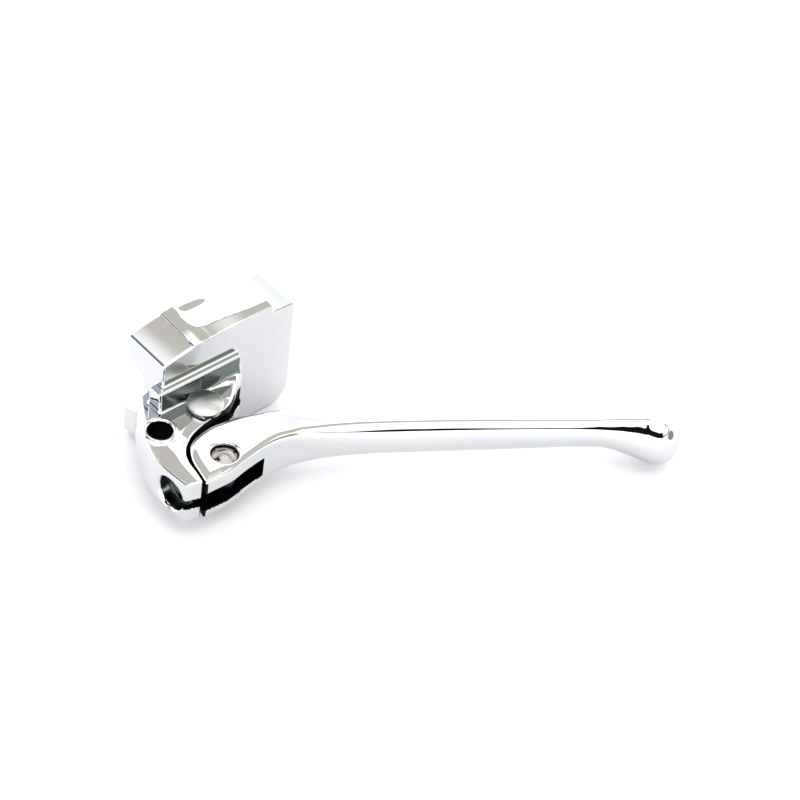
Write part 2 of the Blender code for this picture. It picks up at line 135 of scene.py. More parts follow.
class Outline:
    """Distance to a closed outline, negative inside. The nearest edge gives the distance, and
    the number of edges to the right of a place says if it is inside."""

    def __init__(self, points, pitch=0.25, margin=8.0):
        points = np.asarray(points, float)
        self.pitch = pitch
        self.low = points.min(0) - margin
        self.size = np.ceil((points.max(0) + margin - self.low) / pitch).astype(int)
        x = (self.low[0] + pitch * np.arange(self.size[0]))[:, None]
        y = (self.low[1] + pitch * np.arange(self.size[1]))[None, :]
        nearest = np.full(tuple(self.size), np.inf)
        inside = np.zeros(tuple(self.size), bool)
        for (ax, ay), (bx, by) in zip(points, np.roll(points, -1, axis=0)):
            ex, ey = bx - ax, by - ay
            length = ex * ex + ey * ey
            if length < 1e-12:
                continue
            t = np.clip(((x - ax) * ex + (y - ay) * ey) / length, 0, 1)
            nearest = np.minimum(nearest, (x - ax - t * ex) ** 2 + (y - ay - t * ey) ** 2)
            if ay != by:
                inside ^= ((ay > y) != (by > y)) & (x < ax + (y - ay) * ex / ey)
        self.grid = np.where(inside, -1, 1) * np.sqrt(nearest)

    def __call__(self, x, y):
        x, y = np.broadcast_arrays(x, y)
        u = (x - self.low[0]) / self.pitch
        v = (y - self.low[1]) / self.pitch
        cu = np.clip(u, 1, self.size[0] - 2.001)
        cv = np.clip(v, 1, self.size[1] - 2.001)
        i, j = cu.astype(int), cv.astype(int)
        total = np.zeros(x.shape)
        for di, wu in enumerate(self.weights(cu - i)):
            for dj, wv in enumerate(self.weights(cv - j)):
                total += wu * wv * self.grid[i + di - 1, j + dj - 1]
        return total + self.pitch * np.hypot(u - cu, v - cv)

    @staticmethod
    def weights(t):
        """The cubic B-spline's four weights, which also smooth the corners a little."""
        return ((1 - t) ** 3 / 6, (3 * t ** 3 - 6 * t ** 2 + 4) / 6,
                (-3 * t ** 3 + 3 * t ** 2 + 3 * t + 1) / 6, t ** 3 / 6)


round_plate = Outline(arc((0, 0), 5.0, 0, 360))
print("a 5 mm disc, 1 mm inside its edge:", round(float(round_plate(4.0, 0.0)), 3))


# %% [markdown]
# ## From a field to a mesh
# The skin is found on a grid of cells about half a millimetre wide. Every cell that the
# surface passes gets one vertex, and every grid line that it crosses gets one quad. The
# vertices then slide down the field's slope onto the true surface, and the slope itself
# becomes the shading normal, so a flat stays perfectly flat in its reflection.

# %% Skin a field
def skin(field, low, high, pitch):
    """Vertices and quads of the surface where the field is zero."""
    axes = [np.arange(a, b + pitch, pitch) for a, b in zip(low, high)]
    values = field(*np.meshgrid(*axes, indexing="ij", sparse=True))
    cells = np.array(values.shape) - 1
    count = np.zeros(cells.prod())
    total = np.zeros((3, cells.prod()))
    quads = []
    for axis in range(3):
        first, second = [slice(None)] * 3, [slice(None)] * 3
        first[axis], second[axis] = slice(0, -1), slice(1, None)
        start, end = values[tuple(first)], values[tuple(second)]
        crossed = (start < 0) != (end < 0)
        corner = np.argwhere(crossed)
        start, end = start[crossed], end[crossed]
        place = corner.astype(float)
        place[:, axis] += start / (start - end)
        u, v = (axis + 1) % 3, (axis + 2) % 3
        around = []
        for du, dv in ((-1, -1), (0, -1), (0, 0), (-1, 0)):
            cell = corner.copy()
            cell[:, u] += du
            cell[:, v] += dv
            index = np.ravel_multi_index(tuple(cell.T), tuple(cells))
            around.append(index)
            count += np.bincount(index, minlength=len(count))
            for k in range(3):
                total[k] += np.bincount(index, weights=place[:, k], minlength=len(count))
        quad = np.stack(around, axis=1)
        quad[start >= 0] = quad[start >= 0][:, ::-1]
        quads.append(quad)
    used = np.flatnonzero(count)
    renumber = np.zeros(len(count), int)
    renumber[used] = np.arange(len(used))
    vertices = np.array([a[0] for a in axes]) + pitch * (total[:, used] / count[used]).T
    return vertices, renumber[np.vstack(quads)]


def slope(field, points, reach=0.02):
    """The field's gradient, from its difference over a short way along each axis."""
    gradient = np.empty_like(points)
    for k in range(3):
        step = np.zeros(3)
        step[k] = reach
        gradient[:, k] = (field(*(points + step).T) - field(*(points - step).T)) / (2 * reach)
    return gradient


def settle(field, points, pitch, rounds=5):
    """Slides points onto the surface and returns them with the surface's normals there."""
    for _ in range(rounds):
        gradient = slope(field, points)
        square = np.maximum((gradient ** 2).sum(1), 0.05)
        move = field(*points.T)[:, None] * gradient / square[:, None]
        length = np.linalg.norm(move, axis=1, keepdims=True)
        points = points - move * np.minimum(1, 0.5 * pitch / np.maximum(length, 1e-9))
    gradient = slope(field, points, 0.12)
    return points, gradient / np.linalg.norm(gradient, axis=1, keepdims=True)


def make_object(name, vertices, faces, normals=None):
    """Puts arrays of vertices and equal-sided faces into a mesh, smooth shaded."""
    mesh = bpy.data.meshes.new(name)
    sides = faces.shape[1]
    mesh.vertices.add(len(vertices))
    mesh.vertices.foreach_set("co", (vertices * MM).astype(np.float32).ravel())
    mesh.loops.add(faces.size)
    mesh.loops.foreach_set("vertex_index", faces.astype(np.int32).ravel())
    mesh.polygons.add(len(faces))
    mesh.polygons.foreach_set("loop_start", np.arange(0, faces.size, sides, dtype=np.int32))
    mesh.polygons.foreach_set("use_smooth", np.ones(len(faces), bool))
    mesh.update(calc_edges=True)
    mesh.validate()
    if normals is not None:
        mesh.normals_split_custom_set_from_vertices(normals.astype(np.float32))
    item = bpy.data.objects.new(name, mesh)
    bpy.context.scene.collection.objects.link(item)
    print(f"{name}: {len(vertices)} vertices, {len(faces)} faces")
    return item


def dress(item, *finishes):
    """Gives the object its finishes. The first covers it, and each later one comes with the
    test that picks its faces by the place of their middles, in millimetres."""
    mesh = item.data
    mesh.materials.clear()
    mesh.materials.append(finishes[0])
    middle = np.empty(len(mesh.polygons) * 3)
    mesh.polygons.foreach_get("center", middle)
    place = middle.reshape(-1, 3).T / MM
    chosen = np.zeros(len(mesh.polygons), np.int32)
    for index, (finish, test) in enumerate(finishes[1:], start=1):
        mesh.materials.append(finish)
        chosen[test(*place)] = index
    mesh.polygons.foreach_set("material_index", chosen)


# %% [markdown]
# ## The sizes
# These are the sizes that the casting and the lever share, in the bar's frame: X runs along
# the handlebar to the grip, Y points back to the rider and Z is up.

# %% Sizes
pin_low, pin_high = (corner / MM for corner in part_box("pivot_pin"))
PIVOT = ((pin_low[0] + pin_high[0]) / 2, (pin_low[1] + pin_high[1]) / 2)
anchor_low, anchor_high = (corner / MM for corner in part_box("cable_anchor_pin"))
ANCHOR = ((anchor_low[0] + anchor_high[0]) / 2, (anchor_low[1] + anchor_high[1]) / 2)
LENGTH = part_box("bracket_housing")[1][0] / MM
TOP, BOTTOM = 4.5, -15.0          # the perch and the lever's fork
MIDDLE = (TOP + BOTTOM) / 2
SADDLE = 12.7                     # radius of the handlebar
DEPTH = 21.0                      # parting face to the housing's front
PANEL = 28.0                      # height of the raised panel
LIP_START, LIP_RISE = 23.4, 3.0   # the inboard lip, which climbs towards the panel
LIP_END = 13.9                    # where the lip meets the panel
PANEL_END = 52.0
STRIP, STRIP_FALL = 24.0, 0.6     # the outboard strip slopes down to the end
FLOOR = -25.5                     # the housing's lowest face
WALL = 3.2                        # thickness of the housing
CORNER = 9.0                      # its lower outboard corner
LEDGE = 13.3                      # top of the neck
NECK = -24.0                      # the neck's front face, at the ledge
NECK_START, NECK_END = -3.3, 35.5
MIRROR = (-9.0, -32.1)
CABLE = (-51.2, -6.6)             # the cable's line, across and up
NECK_STOP = -17.4                 # the neck's inboard end starts at this y
FRONT_DRAFT, NECK_DRAFT = 1.5, 4.0
POLISH = 8.0                      # how far a polished edge leans, in degrees
GAP_TOP, GAP_BOTTOM = -1.0, -10.3  # room for the tongue between the ears
SLOT_TOP, SLOT_BOTTOM = -2.2, -11.2  # the cable slot in the fork
MIRROR_BORE, RING, RING_BEAD = 4.7, 5.75, 1.05
SEAT, SEAT_FLOOR = 6.8, -12.6     # the ferrule's seat
CABLE_BORE, CABLE_SLOT = 4.0, 2.15
SCREWS_ALONG, SCREWS_UP = (7.0, 54.3), (18.8, -19.9)
POST, SCREW, SCREW_DEPTH = 4.5, 2.1, 12.0
ROOM_START, ROOM_TOP = 17.0, 21.7  # the hollow for the switch wires
PIN_BORE, EYE = 4.3, 5.9          # through the ears, and in the lever
ANCHOR_ARM, ANCHOR_ANGLE = 24.2, -73.9
ANCHOR_BORE, ANCHOR_STEM, ANCHOR_FLOOR = 5.2, 3.3, 2.4
print("pivot", [round(v, 2) for v in PIVOT], "anchor", [round(v, 2) for v in ANCHOR])


# %% [markdown]
# ## The bracket casting
# On the real part this is one die casting: it is ground, polished until every edge is soft,
# and then plated. Each function below is one feature, and the last one joins them in the
# order a pattern maker would: blocks first, then the bores and the hollow. The housing's top
# steps twice, and its polished edges lean over by a few degrees, which is all that shows them.

# %% The switch housing
def leaning(y, z, face, height, degrees):
    """Distance to a front face with draft: it stands at that place at that height, and comes
    forward below it by the tangent of the angle, so that the casting leaves its mould."""
    return face - y - (height - z) * math.tan(math.radians(degrees))


def panel_top(x, y, front):
    """Height of the raised panel: flat, with polished edges towards the lip and the front that
    meet in a round corner. A shallow step near the parting face runs out along the panel."""
    edge = 5.0 - 2.6 * ease(x, 18, 50)
    flat = common(LIP_END + 4.6 - x, front + edge, 5.0)
    worn = ease(-3.4 - y, -2.4, 2.4) * ease(x, 17, 22) * (1 - ease(x, 23, 40))
    return PANEL - soft_edge(flat, 1.2, POLISH) - 0.3 * worn


def housing(x, y, z):
    """A rounded block whose top steps: a convex lip, a raised panel and a lower strip."""
    along = np.clip(x / LIP_END, 0, 1)
    lip = LIP_START + LIP_RISE * (1.15 * along - 0.15 * along ** 2)
    strip = STRIP - STRIP_FALL * np.clip((x - PANEL_END) / (LENGTH - PANEL_END), 0, 1)
    top = np.maximum(lip - np.maximum(x - LIP_END, 0) * 1.5, strip - 50 * (x < LIP_END))
    front = leaning(y, z, -DEPTH, 20.0, FRONT_DRAFT)
    side = common(common(-x, (z - top) * 0.95, 0.9), x - LENGTH, 1.0)
    side = common(side, FLOOR - z, 1.2)
    side = np.maximum(side, common(x - LENGTH, FLOOR - z, CORNER))
    block = common(side, front, 0.8)

    height = panel_top(x, y, front)
    panel = common(z - height, common(LIP_END - x, front, 0.4), 0.35)
    panel = common(panel, x - PANEL_END, 0.8)
    panel = np.maximum(panel, -z)
    return np.maximum(np.minimum(block, panel), y)


def neck(x, y, z):
    """The thick root that joins the perch to the housing, with a ledge on top."""
    front = leaning(y, z, NECK, LEDGE, NECK_DRAFT)
    plan = common(common(NECK_START - x, front, 1.1), x - NECK_END, 1.6)
    plan = cut(plan, np.maximum(x, NECK_STOP - y), 0.8)
    return np.maximum(common(plan, z - LEDGE, 0.7), np.maximum(y + 10.0, BOTTOM + 1.0 - z))


print("panel's height at its middle:", round(float(panel_top(35.0, 0.0, -12.0)), 2))


# %% [markdown]
# ## The perch
# This arm carries the pivot and takes the cable. From above it is a hooked plate, so it is
# drawn as two curves: the inboard wall, and the edge along the lever's gap. A slab with
# bevels would do for a rough model, but its bevels here swell and fade along the curves.

# %% The perch
wall = through([(-2.6, -9.5), (-8.5, -18.5), (-12.8, -26.4), (-17.0, -35.6), (-18.7, -46.0),
                (-17.6, -59.3), (-15.6, -70.0)])
ear_edge = through([(-13.6, -70.0), (-11.5, -61.0), (-10.3, -55.5), (-9.3, -49.8), (-6.7, -44.9),
                    (-0.6, -40.2), (6.2, -37.9), (13.0, -36.7), (20.2, -35.4), (25.8, -32.4),
                    (32.0, -27.2), (38.0, -22.0)])
wall_side = Outline(np.vstack([wall, [(50.0, -70.0), (50.0, -9.5)]]))
wall_width = through([(-66, 3.4), (-59, 4.6), (-51, 6.2), (-44, 7.7), (-38, 6.4), (-31, 3.4),
                      (-24, 2.4), (-10, 2.2)], 40)
ear_side = Outline(np.vstack([ear_edge, [(38.0, -9.5), (-30.0, -9.5), (-30.0, -70.0)]]))
slot_outline = Outline(np.vstack([
    arc(PIVOT, 9.4, 45, 190), [(-3.0, -41.0), (-3.0, -75.0), (60.0, -75.0), (60.0, NECK + 0.8)]]))


def perch(x, y, z):
    """A thick plate. Its top falls away in a wide polished edge along the wall, and in a
    narrower one along the gap, and its nose is flat."""
    at_wall, at_gap = wall_side(x, y), ear_side(x, y)
    width = np.interp(y, wall_width[:, 0], wall_width[:, 1])
    top = TOP - soft_edge(at_wall, width, POLISH) - soft_edge(at_gap, 4.2, POLISH) * ease(x, -8, -3)
    plate = common(common(at_wall, at_gap, 0.8), z - top, 0.7 + 1.0 * ease(x, 21, 30))
    plate = common(plate, BOTTOM - z, 1.0)
    nose = (x + 17.6) * -0.268 + (y + 59.3) * -0.963
    plate = common(plate, nose, 0.5)
    return np.maximum(plate, np.maximum(y + 9.5, x - NECK_END))


print("inboard wall:", len(wall), "points, gap's edge:", len(ear_edge), "points")


# %% [markdown]
# ## Holes and hollows
# What is cut comes last, as it does on the real casting. The saddle is a plain cylinder, the
# screws have posts to bite in, and the ferrule's seat has a chamfer. The tests after it pick
# the faces that get painted shade: near black in the holes, and a darker satin plate in two
# corners, because a hole that is as bright as the outside looks shallow.

# %% Holes and hollows
def mouth(x, y, z):
    """The cable's entry: a seat for the ferrule with a chamfered rim, a bore beyond it, and a
    slot to the front, through which the cable drops in."""
    from_axis = np.hypot(y - CABLE[0], z - CABLE[1])
    chamfer = np.clip(-17.4 - x, 0, 2.0) * 0.7
    seat = np.maximum(from_axis - SEAT - chamfer, x - SEAT_FLOOR)
    bore = np.maximum(from_axis - CABLE_BORE, between(x, -30.0, 3.0))
    slot = np.maximum(np.abs(z - CABLE[1]) - CABLE_SLOT, np.maximum(y - CABLE[0], x - 8.0))
    return np.minimum(np.minimum(seat, bore), slot)


def ear_gap(x, y, z):
    return np.maximum(slot_outline(x, y), between(z, GAP_BOTTOM, GAP_TOP))


def wiring_room(x, y, z):
    inside = common(between(x, ROOM_START, LENGTH - 4.8), between(z, FLOOR + WALL, ROOM_TOP), 3.0)
    return common(inside, -y - DEPTH + WALL, 2.0)


def bracket(x, y, z):
    """The blocks run into each other with fillets; the one under the neck swells towards the
    outboard end. Then come the hollow, the saddle, the gap between the ears and the bores."""
    body = fillet(housing(x, y, z), neck(x, y, z), 0.6)
    body = fillet(body, perch(x, y, z), 0.8 + 3.0 * ease(x, 18, 33))
    from_bore = disc(x, y, MIRROR, 0)
    body = fillet(body, np.hypot(from_bore - RING, z - TOP - 0.1) - RING_BEAD, 0.3)

    body = cut(body, wiring_room(x, y, z), 0.4)
    for height in SCREWS_UP:
        post = common(disc(x, z, (SCREWS_ALONG[1], height), POST), between(y, -20.0, -0.4), 0.3)
        body = fillet(body, post, 1.2)
    body = cut(body, np.hypot(y, z) - SADDLE, 0.5)
    for height in SCREWS_UP:
        for along in SCREWS_ALONG:
            hole = np.maximum(disc(x, z, (along, height), SCREW), -SCREW_DEPTH - y)
            body = cut(body, hole, 0.35)

    body = cut(body, ear_gap(x, y, z), 0.35)
    body = cut(body, disc(x, y, PIVOT, PIN_BORE), 0.3)
    body = cut(body, from_bore - MIRROR_BORE, 0.4)
    return cut(body, mouth(x, y, z), 0.3)


def recess_shade_places(x, y, z):
    """The places that get painted shade, a near-black colour: the bores, the gap and the hollow."""
    bore = (disc(x, y, MIRROR, MIRROR_BORE + 0.25) < 0) & (z < TOP + 0.8)
    gap = (ear_gap(x, y, z) < 0.25) | (disc(x, y, PIVOT, PIN_BORE + 0.1) < 0)
    edge = (ear_side(x, y) > -0.3) & (z < TOP - 0.9) & (x > -12.5) & (x < 27) & (y < -26)
    slot = (np.abs(z - CABLE[1]) < CABLE_SLOT + 0.2) & (y < CABLE[0]) & (y > -62.0)
    cable = (slot & (mouth(x, y, z) < 0.25)) | ((disc(y, z, CABLE, CABLE_BORE + 0.2) < 0) & (x > -12.5))
    return bore | gap | edge | cable | (wiring_room(x, y, z) < 0.25)


def satin_and_shade_places(x, y, z):
    """The neck's front, which stands in a corner, and the seat keep a satin plate, darkened
    with painted shade.
    """
    face = (y > NECK - 1.2) & (y < NECK + 0.5) & (z > TOP + 0.4) & (z < LEDGE - 0.9)
    face &= (x > NECK_START + 1.0) & (x < NECK_END - 1.0)
    seat = (disc(y, z, CABLE, SEAT + 0.1) < 0) & (x < SEAT_FLOOR + 0.3) & (y > CABLE[0] - 7.0)
    return face | (seat & (disc(y, z, CABLE, CABLE_BORE + 0.2) > 0))


PITCH = 0.5
vertices, quads = skin(bracket, (-22.13, -65.17, -28.11), (66, 3, 31), PITCH)
vertices, normals = settle(bracket, vertices, PITCH)
casting = make_object("bracket_casting", vertices, quads, normals)


# %% [markdown]
# ## The lever
# A cast blade that starts as a square-shouldered fork, slims to a rounded bar and ends in
# a ball. One section runs the whole way, and only its width, height and squareness change.

# %% The lever's outline
TURN = math.radians(-36.8)
REACH, BALL = 173.0, 10.0         # pivot to the ball's centre, and the ball's radius
front_edge = through([
    (0.0, -38.6), (4.9, -35.2), (9.6, -31.8), (14.7, -26.3), (20.0, -21.1), (25.0, -17.0),
    (30.0, -14.1), (36.0, -11.9), (46.0, -10.3), (60.0, -8.9), (82.0, -7.2), (106.0, -5.4),
    (130.0, -3.6), (146.0, -2.7), (154.0, -3.1), (161.0, -5.4), (167.0, -8.1), (171.0, -9.75)])
rear_edge = through([
    (171.0, 10.0), (161.0, 10.0), (154.0, 9.5), (146.0, 8.9), (130.0, 8.4), (106.0, 7.2),
    (82.0, 5.8), (60.0, 4.3), (50.0, 3.0), (40.0, 2.1), (32.0, 1.6), (26.0, 0.9), (20.0, -1.1),
    (14.0, -3.3), (9.9, -5.2), (3.0, -8.9), (-1.0, -12.3), (-4.2, -16.0), (-5.9, -19.6),
    (-6.1, -23.8), (-5.1, -28.5), (-2.9, -33.4), (-0.5, -38.6)])
lever_outline = Outline(np.vstack([front_edge, arc((REACH, 0), BALL, -88, 88, 48), rear_edge]))
tongue_outline = Outline(np.vstack([
    arc((0, 0), 8.5, 60, 220), [(-3.6, -17.5), (4.0, -15.0), (20.0, -5.0), (14.0, -0.5)]]))

# along the blade: half width, half height, squareness
sections = through([
    (-20.0, 9.0, 9.75, 14.0), (12.0, 9.0, 9.75, 14.0), (20.0, 8.6, 9.75, 11.0),
    (26.0, 7.9, 9.6, 8.0), (30.0, 7.5, 9.3, 6.5), (36.0, 6.8, 8.6, 4.6), (46.0, 6.45, 7.7, 3.2),
    (60.0, 6.55, 7.3, 2.5), (82.0, 6.5, 7.2, 2.3), (106.0, 6.3, 7.0, 2.3), (130.0, 6.0, 6.5, 2.2),
    (146.0, 5.8, 6.2, 2.1), (154.0, 6.3, 6.6, 2.0), (161.0, 7.6, 7.9, 2.0), (167.0, 9.1, 9.25, 2.0),
    (REACH, BALL, BALL, 2.0), (200.0, BALL, BALL, 2.0)])
anchor_turn = math.radians(ANCHOR_ANGLE)
ANCHOR_UV = (ANCHOR_ARM * math.cos(anchor_turn), ANCHOR_ARM * math.sin(anchor_turn))
print("lever's edges:", len(front_edge) + len(rear_edge), "points")


# %% [markdown]
# ## The lever's body
# The fork is slotted for the cable and bored for the anchor, and a tongue on its inboard
# side goes between the perch's ears. The blade is skinned in its own frame, where it lies
# along one axis and the grid stays small, and is then turned to its open stop.

# %% The lever
def to_bar(u, v):
    """From the lever's own frame, along and across the blade, to the bar's."""
    return (PIVOT[0] + u * math.cos(TURN) - v * math.sin(TURN),
            PIVOT[1] + u * math.sin(TURN) + v * math.cos(TURN))


def fork_slot(u, v, z):
    """The fork's cable slot: open to the front, inboard of its end, and towards the perch."""
    x, y = to_bar(u, v)
    plan = np.maximum(x - 18.4, y - ANCHOR[1] - 6.2)
    return np.maximum(plan, between(z, SLOT_BOTTOM, SLOT_TOP))


def lever(u, v, z):
    """The section is a superellipse between the outline and the heights: its width runs from
    nothing at the middle to one at the outline, and a high squareness makes a flat bar."""
    width, height, squareness = (np.interp(u, sections[:, 0], sections[:, k]) for k in (1, 2, 3))
    plan = lever_outline(u, v)
    across = np.maximum(1 + plan / width, 0)
    up = np.abs(z - MIDDLE) / height
    reach = (across ** squareness + up ** squareness) ** (1 / squareness)
    body = (reach - 1) * np.minimum(width, height)
    corner = ease(-v, 20, 28) * ease(9 - u, 0, 5)
    body = np.maximum(body, z - TOP + soft_edge(plan, 3.6, POLISH) * corner)
    tongue = np.maximum(tongue_outline(u, v), between(z, GAP_BOTTOM + 1.6, GAP_TOP - 0.3))
    body = fillet(body, tongue, 0.5)

    body = cut(body, fork_slot(u, v, z), 0.3)
    from_anchor = disc(u, v, ANCHOR_UV, 0)
    body = cut(body, np.maximum(from_anchor - ANCHOR_BORE, BOTTOM + ANCHOR_FLOOR - z), 1.0)
    body = cut(body, from_anchor - ANCHOR_STEM, 0.2)
    return cut(body, disc(u, v, (0, 0), EYE), 0.3)


def lever_recess_shade_places(x, y, z):
    """The slot, the bores and the wall that faces the perch, which get painted shade in near black."""
    across, along = x - PIVOT[0], y - PIVOT[1]
    u = across * math.cos(TURN) + along * math.sin(TURN)
    v = along * math.cos(TURN) - across * math.sin(TURN)
    anchor_bore = (disc(x, y, ANCHOR, ANCHOR_BORE + 0.2) < 0) & (z < TOP - 1.4)
    bores = anchor_bore | (disc(x, y, PIVOT, EYE + 0.1) < 0)
    wall_of_gap = (ear_side(x, y) < 1.9) & (z < TOP - 1.2) & (u < 16)
    return (fork_slot(u, v, z) < 0.25) | bores | wall_of_gap


vertices, quads = skin(lever, (-12.13, -43.17, -17.61), (185, 13, 7), PITCH)
vertices, normals = settle(lever, vertices, PITCH)
turn = np.array([[math.cos(TURN), -math.sin(TURN), 0],
                 [math.sin(TURN), math.cos(TURN), 0], [0, 0, 1]])
vertices = vertices @ turn.T + np.array([PIVOT[0], PIVOT[1], 0])
blade = make_object("lever_blade", vertices, quads, normals @ turn.T)


# %% [markdown]
# ## The turned pieces
# The pin and the anchor come off a lathe, so each is a profile carried round an axis. The pin
# has a wide, low domed head, which shows as a disc beside the neck, a shank through both ears
# and a groove for the ring. The anchor is a plug with a shallow dome, sunk in the fork.

# %% Turned pieces
def turned(name, profile, centre, sides=96):
    """A profile of radius and height carried round an upright axis: x and y are the radius
    times the cosine and sine of the angle."""
    profile = np.array(profile, float)
    angle = np.linspace(0, 2 * np.pi, sides, endpoint=False)
    x = centre[0] + profile[:, :1] * np.cos(angle)
    y = centre[1] + profile[:, :1] * np.sin(angle)
    z = np.broadcast_to(profile[:, 1:], x.shape)
    vertices = np.stack([x, y, z], axis=2).reshape(-1, 3)
    row, column = np.meshgrid(np.arange(len(profile) - 1), np.arange(sides), indexing="ij")
    following = (column + 1) % sides
    faces = np.stack([row * sides + column, (row + 1) * sides + column,
                      (row + 1) * sides + following, row * sides + following], axis=2)
    return make_object(name, vertices, faces.reshape(-1, 4))


def weld(item):
    """Merges the ring of vertices at each pole into one, and turns the faces outwards."""
    bm = bmesh.new()
    bm.from_mesh(item.data)
    bmesh.ops.remove_doubles(bm, verts=bm.verts, dist=1e-7)
    bmesh.ops.recalc_face_normals(bm, faces=bm.faces)
    bm.to_mesh(item.data)
    bm.free()
    item.data.set_sharp_from_angle(angle=math.radians(50))


def dome(radius, edge, rise, steps=14):
    """A spherical cap's profile, from the axis out to the radius."""
    sphere = (radius * radius + rise * rise) / (2 * rise)
    r = np.linspace(0, radius, steps)
    return np.column_stack([r, edge + rise - sphere + np.sqrt(sphere * sphere - r * r)])


head, shank, groove = 7.0, 4.0, 3.1
seat = TOP + 0.3
groove_top, groove_bottom, tip = BOTTOM - 0.15, BOTTOM - 1.8, BOTTOM - 3.8
profile = np.vstack([
    dome(head - 0.35, seat + 2.2, 0.7),
    arc((head - 0.5, seat + 1.75), 0.5, 70, 0, 6),
    [(head - 0.08, seat + 1.2), (head - 0.16, seat + 0.6), (head - 0.22, seat + 0.1),
     (shank, seat), (shank, groove_top), (groove, groove_top), (groove, groove_bottom),
     (shank, groove_bottom), (shank, tip + 0.8), (3.2, tip), (0.0, tip)]])
pin = turned("pivot_pin_polished", profile, PIVOT)
weld(pin)

rim = TOP - 1.2
profile = np.vstack([
    dome(3.9, rim - 0.2, 1.1), [(4.5, rim - 0.4), (4.85, rim - 0.55), (5.05, rim - 0.9)],
    [(5.05, BOTTOM + 2.7), (3.0, BOTTOM + 2.7), (3.0, BOTTOM + 0.3), (0.0, BOTTOM + 0.3)]])
anchor = turned("anchor_pin_turned", profile, ANCHOR)
weld(anchor)


# %% [markdown]
# ## Finishes
# Chrome has almost no colour of its own, so the eye reads it from how sharply it mirrors the
# light, and from where that mirror stops. Each finish is a metal whose roughness wanders
# slowly and whose surface has faint waves, since no wheel polishes a casting quite flat.

# %% Materials
def linear(hex_colour):
    """An sRGB hex colour as the linear numbers that shaders take."""
    values = [int(hex_colour[i:i + 2], 16) / 255 for i in (1, 3, 5)]
    channels = [v / 12.92 if v <= 0.04045 else ((v + 0.055) / 1.055) ** 2.4 for v in values]
    return (*channels, 1.0)


def add_node(tree, kind, settings=None, inputs=None):
    """Adds one node, sets its properties and fills its sockets with values or links."""
    node = tree.nodes.new(kind)
    for key, value in (settings or {}).items():
        setattr(node, key, value)
    for key, value in (inputs or {}).items():
        if isinstance(value, bpy.types.NodeSocket):
            tree.links.new(value, node.inputs[key])
        else:
            node.inputs[key].default_value = value
    return node


def metal(name, colour, low, high, grain, depth):
    """A plated or bare metal: colour, lowest and highest roughness, the size of the waves in
    its surface in millimetres, and their depth in millimetres."""
    finish = bpy.data.materials.new(name)
    finish.use_nodes = True
    tree = finish.node_tree
    shader = tree.nodes["Principled BSDF"]
    shader.inputs["Metallic"].default_value = 1.0
    shader.inputs["Base Color"].default_value = linear(colour)
    place = add_node(tree, "ShaderNodeTexCoord")
    waves = add_node(tree, "ShaderNodeTexNoise", {}, {
        "Vector": place.outputs["Object"], "Scale": 1 / (grain * MM), "Detail": 2.0})
    haze = add_node(tree, "ShaderNodeTexNoise", {}, {
        "Vector": place.outputs["Object"], "Scale": 1 / (9 * MM), "Detail": 4.0})
    spread = add_node(tree, "ShaderNodeMapRange", {}, {
        "Value": haze.outputs["Fac"], "From Min": 0.35, "From Max": 0.7,
        "To Min": low, "To Max": high})
    bump = add_node(tree, "ShaderNodeBump", {}, {
        "Height": waves.outputs["Fac"], "Strength": 1.0, "Distance": depth * MM})
    tree.links.new(spread.outputs["Result"], shader.inputs["Roughness"])
    tree.links.new(bump.outputs["Normal"], shader.inputs["Normal"])
    return finish


# the mirror that gives the casting and the blade their hard white planes and thin dark lines
chrome = metal("polished_chrome_plate", "#D4D5D6", 0.015, 0.05, 7.0, 0.004)
# corners that a wheel can't reach keep a soft satin plate, and its darker colour is painted
# shade, which sets the neck back
satin_and_shade = metal("satin_chrome_and_painted_shade", "#707876", 0.14, 0.22, 5.0, 0.004)
# bores, gaps and slots get painted shade: a near-black colour for the shade that falls in them
recess_shade = metal("painted_recess_shade", "#131416", 0.45, 0.6, 0.9, 0.02)
# the pin's head is plated but not buffed, so it is one soft grey disc
bright = metal("bright_pin_chrome", "#C8C8C7", 0.2, 0.3, 3.0, 0.003)
# the ring and the washer, a grey that stays plain beside the chrome
steel = metal("zinc_plated_steel", "#A9ABAD", 0.22, 0.34, 0.8, 0.01)
# the bush, warm and porous
bronze = metal("sintered_bronze", "#8E6B43", 0.38, 0.5, 0.4, 0.02)
# the anchor's top is rubbed bright and a little warm, and its barrel, down in the bore, is
# painted dark as shade
anchor_steel = metal("turned_anchor_steel", "#9C9893", 0.12, 0.22, 1.2, 0.004)
anchor_barrel_shade = metal("anchor_barrel_painted_shade", "#33373F", 0.22, 0.34, 1.2, 0.004)


# the holes of the casting and the lever get near-black painted shade, and the neck's front and the seat
# a satin plate darkened with painted shade
dress(casting, chrome, (recess_shade, recess_shade_places), (satin_and_shade, satin_and_shade_places))
dress(blade, chrome, (recess_shade, lever_recess_shade_places))
dress(pin, bright)
# the barrel below the rim, inside the bore, gets painted shade
dress(anchor, anchor_steel, (anchor_barrel_shade, lambda x, y, z: z < TOP - 2.6))
dress(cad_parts["pivot_retaining_ring"], steel)
dress(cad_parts["thrust_washer"], steel)
dress(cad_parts["pivot_bush"], bronze)

for item, body, node, slot in (
        (casting, "bracket", "bracket_housing", "bracket_chrome"),
        (blade, "lever", "hand_lever", "lever_chrome"),
        (pin, "bracket", "pivot_pin", "pin_chrome"),
        (anchor, "anchor", "cable_anchor_pin", "anchor_steel")):
    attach(item, body)
    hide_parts(node)
print("finishes:", sorted(finish.name for finish in bpy.data.materials))


# %% [markdown]
# ## The floor
# One sheet of matt white paper, wide enough to have no edge in sight.

# %% Floor
def floor_height(y):
    """The object rests on the housing's front edge and on the ball, so the floor leans."""
    return FLOOR - 0.6 - 0.0895 * (y + DEPTH)


